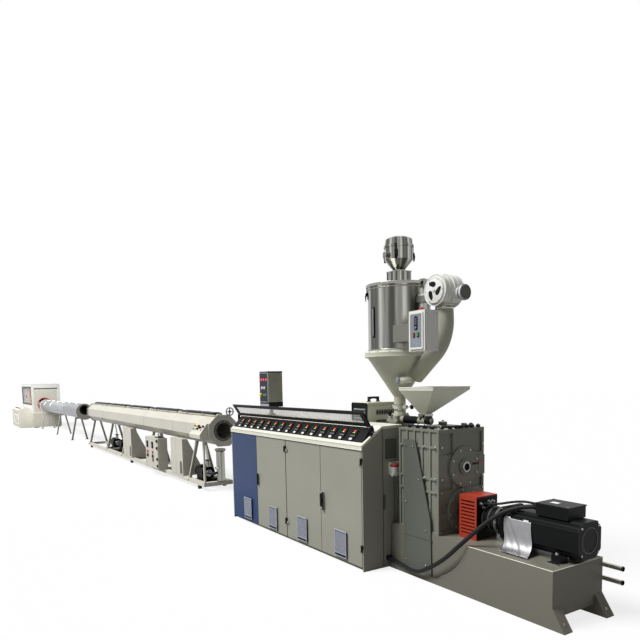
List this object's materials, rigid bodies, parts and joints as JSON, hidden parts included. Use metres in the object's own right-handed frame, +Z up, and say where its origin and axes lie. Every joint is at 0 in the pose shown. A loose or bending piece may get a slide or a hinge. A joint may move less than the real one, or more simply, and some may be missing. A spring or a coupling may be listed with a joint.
{
  "type": "plastic pipe extrusion line",
  "caption": "Long pipe extrusion line: screw extruder with gearbox, hopper dryer and control console, vacuum cooling tank with lids, spray tank and haul-off.",
  "frame": {"origin": "on the floor on the axis of the line, below the drive end of the gearbox, on the rest face of the machine base", "axes": "+X along the line towards the drive motor, so the pipe leaves towards -X; +Z up; -Y towards the operator"},
  "size_m": [25.778, 1.44, 2.806],
  "materials": {
    "base_paint": "satin",
    "black_plastic": "matte",
    "blue_paint": "satin",
    "clear_plastic": "clear",
    "cream_paint": "satin",
    "dark_paint": "satin",
    "dark_steel": "worn",
    "gear_paint": "satin",
    "red_paint": "satin",
    "rubber": "matte",
    "stainless": "brushed",
    "warm_paint": "satin",
    "white_paint": "satin",
    "white_plastic": "gloss"
  },
  "bodies": {
    "line_frame": {"air_blower": "white_paint", "barrel": "dark_steel", "barrel_hood": "warm_paint", "barrel_stands": "base_paint", "belt_tracks": "dark_paint", "blue_panel": "blue_paint", "console_posts": "warm_paint", "console_shell": "warm_paint", "console_top": "warm_paint", "coupling": "dark_paint", "die_head": "dark_steel", "door_hinges": "black_plastic", "doser": "warm_paint", "doser_hopper": "stainless", "dryer_cone": "white_paint", "dryer_control_box": "white_paint", "dryer_drum": "stainless", "dryer_lid": "stainless", "entry_ring": "red_paint", "equipment_box": "white_paint", "fan_housing": "red_paint", "gearbox": "gear_paint", "haul_off_base": "cream_paint", "haul_off_desk": "white_paint", "haul_off_ends": "white_paint", "haul_off_housing": "white_paint", "haul_off_window": "clear_plastic", "instrument_panel": "black_plastic", "loader": "stainless", "machine_base": "base_paint", "motor_body": "dark_paint", "motor_cables": "rubber", "operator_desk": "cream_paint", "pendant_arm": "warm_paint", "side_panel": "dark_paint", "spray_ends": "cream_paint", "spray_shell": "cream_paint", "spray_stands": "cream_paint", "tank_control_box": "white_paint", "tank_ends": "cream_paint", "tank_frame": "cream_paint", "tank_legs": "cream_paint", "tank_pumps": "dark_paint", "tank_shell": "cream_paint", "tank_top_bars": "stainless", "tank_wheels": "rubber", "wall_sockets": "white_plastic", "water_boxes": "cream_paint", "water_pipes": "dark_steel"},
    "console_cover_body": {"console_cover": "clear_plastic"},
    "hand_wheel_body": {"hand_wheel": "black_plastic"},
    "left_door_body": {"left_door": "warm_paint"},
    "middle_door_body": {"middle_door": "warm_paint"},
    "pendant_box_body": {"pendant_box": "warm_paint"},
    "right_door_body": {"right_door": "warm_paint"},
    "tank_lid_1_body": {"tank_lid_1": "stainless"},
    "tank_lid_2_body": {"tank_lid_2": "stainless"},
    "tank_lid_3_body": {"tank_lid_3": "stainless"},
    "tank_lid_4_body": {"tank_lid_4": "stainless"},
    "tank_lid_5_body": {"tank_lid_5": "stainless"}
  },
  "joints": [
    {"name": "left_door_hinge", "type": "hinge", "parent": "line_frame", "child": "left_door_body", "pos_m": [-1.55, -0.573, 0.5], "axis": [0, 0, 1], "range_deg": [0, 90]},
    {"name": "middle_door_hinge", "type": "hinge", "parent": "line_frame", "child": "middle_door_body", "pos_m": [-1.53, -0.573, 0.5], "axis": [0, 0, -1], "range_deg": [0, 90]},
    {"name": "right_door_hinge", "type": "hinge", "parent": "line_frame", "child": "right_door_body", "pos_m": [-0.276, -0.573, 0.5], "axis": [0, 0, 1], "range_deg": [0, 110]},
    {"name": "cover_hinge", "type": "hinge", "parent": "line_frame", "child": "console_cover_body", "pos_m": [-1.54, -0.463, 1.209], "axis": [1, 0, 0], "range_deg": [0, 98]},
    {"name": "pendant_swivel", "type": "hinge", "parent": "line_frame", "child": "pendant_box_body", "pos_m": [-2.49, -0.2, 1.345], "axis": [0, 0, 1], "range_deg": [-60, 60]},
    {"name": "wheel_spin", "type": "hinge", "parent": "line_frame", "child": "hand_wheel_body", "pos_m": [-4.338, 0.1, 1.172], "axis": [1, 0, 0], "continuous": true},
    {"name": "lid_1_hinge", "type": "hinge", "parent": "line_frame", "child": "tank_lid_1_body", "pos_m": [-11.6496, 0.074, 1.1153], "axis": [-1, 0, 0], "range_deg": [0, 100]},
    {"name": "lid_2_hinge", "type": "hinge", "parent": "line_frame", "child": "tank_lid_2_body", "pos_m": [-10.0373, 0.074, 1.1153], "axis": [-1, 0, 0], "range_deg": [0, 100]},
    {"name": "lid_3_hinge", "type": "hinge", "parent": "line_frame", "child": "tank_lid_3_body", "pos_m": [-8.425, 0.074, 1.1153], "axis": [-1, 0, 0], "range_deg": [0, 100]},
    {"name": "lid_4_hinge", "type": "hinge", "parent": "line_frame", "child": "tank_lid_4_body", "pos_m": [-6.8127, 0.074, 1.1153], "axis": [-1, 0, 0], "range_deg": [0, 100]},
    {"name": "lid_5_hinge", "type": "hinge", "parent": "line_frame", "child": "tank_lid_5_body", "pos_m": [-5.2004, 0.074, 1.1153], "axis": [-1, 0, 0], "range_deg": [0, 100]}
  ]
}
